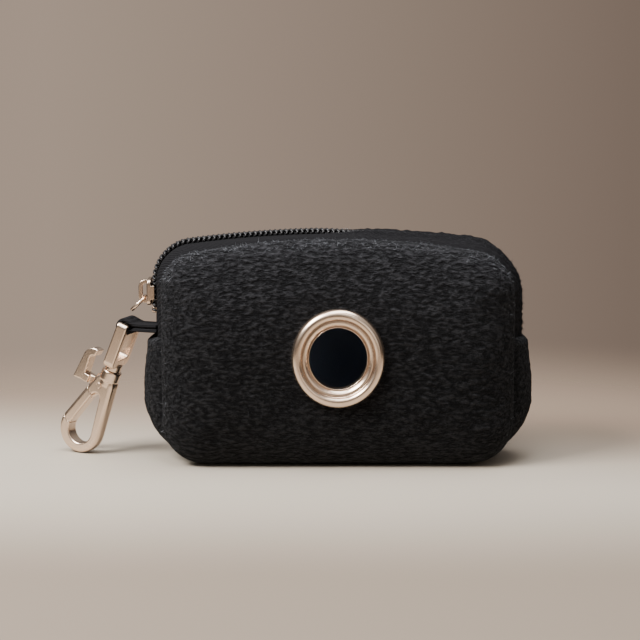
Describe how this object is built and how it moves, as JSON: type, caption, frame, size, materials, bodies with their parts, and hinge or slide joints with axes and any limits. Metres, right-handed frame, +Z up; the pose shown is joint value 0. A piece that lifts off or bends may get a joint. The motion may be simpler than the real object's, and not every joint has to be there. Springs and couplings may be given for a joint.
{
  "type": "treat pouch",
  "caption": "Small padded fabric pouch with a zip over the top, a large metal eyelet in the front and a swivel trigger clasp on a webbing loop at one side.",
  "frame": {"origin": "middle of the pouch's base, on the surface it stands on", "axes": "+X to the right along the pouch's width, -Y out of the eyelet, +Z up"},
  "size_m": [0.1479, 0.0446, 0.0727],
  "materials": {
    "outer_fabric": "nubbly weave",
    "inner_lining": "plain weave",
    "zip_textile": "twill tape",
    "zip_coil": "moulded nylon coil",
    "webbing": "ribbed webbing",
    "pale_gold": "satin",
    "spring_steel": "plain"
  },
  "bodies": {
    "pouch": {"back_lining": "inner_lining", "back_panel": "outer_fabric", "bottom_gusset": "outer_fabric", "eyelet": "pale_gold", "eyelet_washer": "pale_gold", "front_lining": "inner_lining", "front_panel": "outer_fabric", "gusset_lining": "inner_lining", "seam_binding_back": "zip_textile", "seam_binding_front": "zip_textile", "side_loop": "webbing", "zip_bottom_stop": "pale_gold", "zip_coil_back": "zip_coil", "zip_coil_front": "zip_coil", "zip_end_tab_left": "outer_fabric", "zip_end_tab_right": "outer_fabric", "zip_tape_back": "zip_textile", "zip_tape_front": "zip_textile", "zip_top_stop_back": "pale_gold", "zip_top_stop_front": "pale_gold"},
    "slider": {"slider_body": "pale_gold", "slider_bail": "pale_gold"},
    "pull_ring": {"pull_ring": "pale_gold"},
    "clasp_eye": {"swivel_eye": "pale_gold"},
    "hook": {"hook_body": "pale_gold", "gate_pin": "pale_gold", "gate_spring": "spring_steel"},
    "gate": {"gate": "pale_gold"}
  },
  "joints": [
    {"name": "zip_slide", "type": "slide", "parent": "pouch", "child": "slider", "axis": [0, 0, 1], "range_m": [0, 0.0025]},
    {"name": "ring_swing", "type": "hinge", "parent": "slider", "child": "pull_ring", "pos_m": [-0.06, 0, 0.051], "axis": [0, 1, 0], "range_deg": [-6, 100]},
    {"name": "clasp_swing", "type": "hinge", "parent": "pouch", "child": "clasp_eye", "pos_m": [-0.0652, 0, 0.0417], "axis": [0.342, 0.9397, 0], "range_deg": [0, 95]},
    {"name": "clasp_swivel", "type": "hinge", "parent": "clasp_eye", "child": "hook", "pos_m": [-0.07082, 0.00204, 0.02718], "axis": [0.3578, -0.1302, 0.9247], "continuous": true},
    {"name": "gate_turn", "type": "hinge", "parent": "hook", "child": "gate", "pos_m": [-0.07415, 0.00348, 0.02229], "axis": [-0.4596, -0.8865, 0.053], "range_deg": [0, 24], "stiffness_Nm_per_rad": 0.03, "springref_deg": -20.05}
  ]
}
